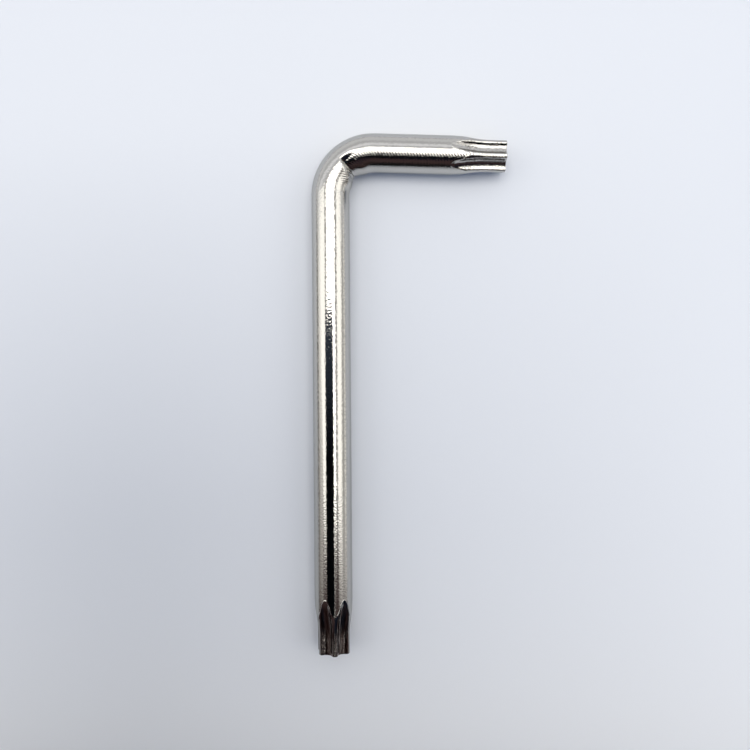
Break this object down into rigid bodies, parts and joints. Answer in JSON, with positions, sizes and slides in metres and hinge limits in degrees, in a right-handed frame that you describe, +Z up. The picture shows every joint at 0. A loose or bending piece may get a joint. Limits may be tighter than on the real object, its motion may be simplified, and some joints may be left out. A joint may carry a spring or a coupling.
{
  "type": "double-ended six-lobe key",
  "caption": "One-piece L-shaped hand key of round nickel-plated steel rod, with a six-lobe driving tip on the end of each leg.",
  "frame": {"origin": "under the middle of the key's outline, on the surface that the key lies on", "axes": "+Z up from the surface; -Y along the long leg, towards its tip; +X the way the short leg points, 2 degrees of it towards -Y"},
  "size_m": [0.0256, 0.068, 0.005],
  "materials": {
    "nickel_plate": "polished"
  },
  "bodies": {
    "root": {"six_lobe_key": "nickel_plate"}
  },
  "joints": []
}
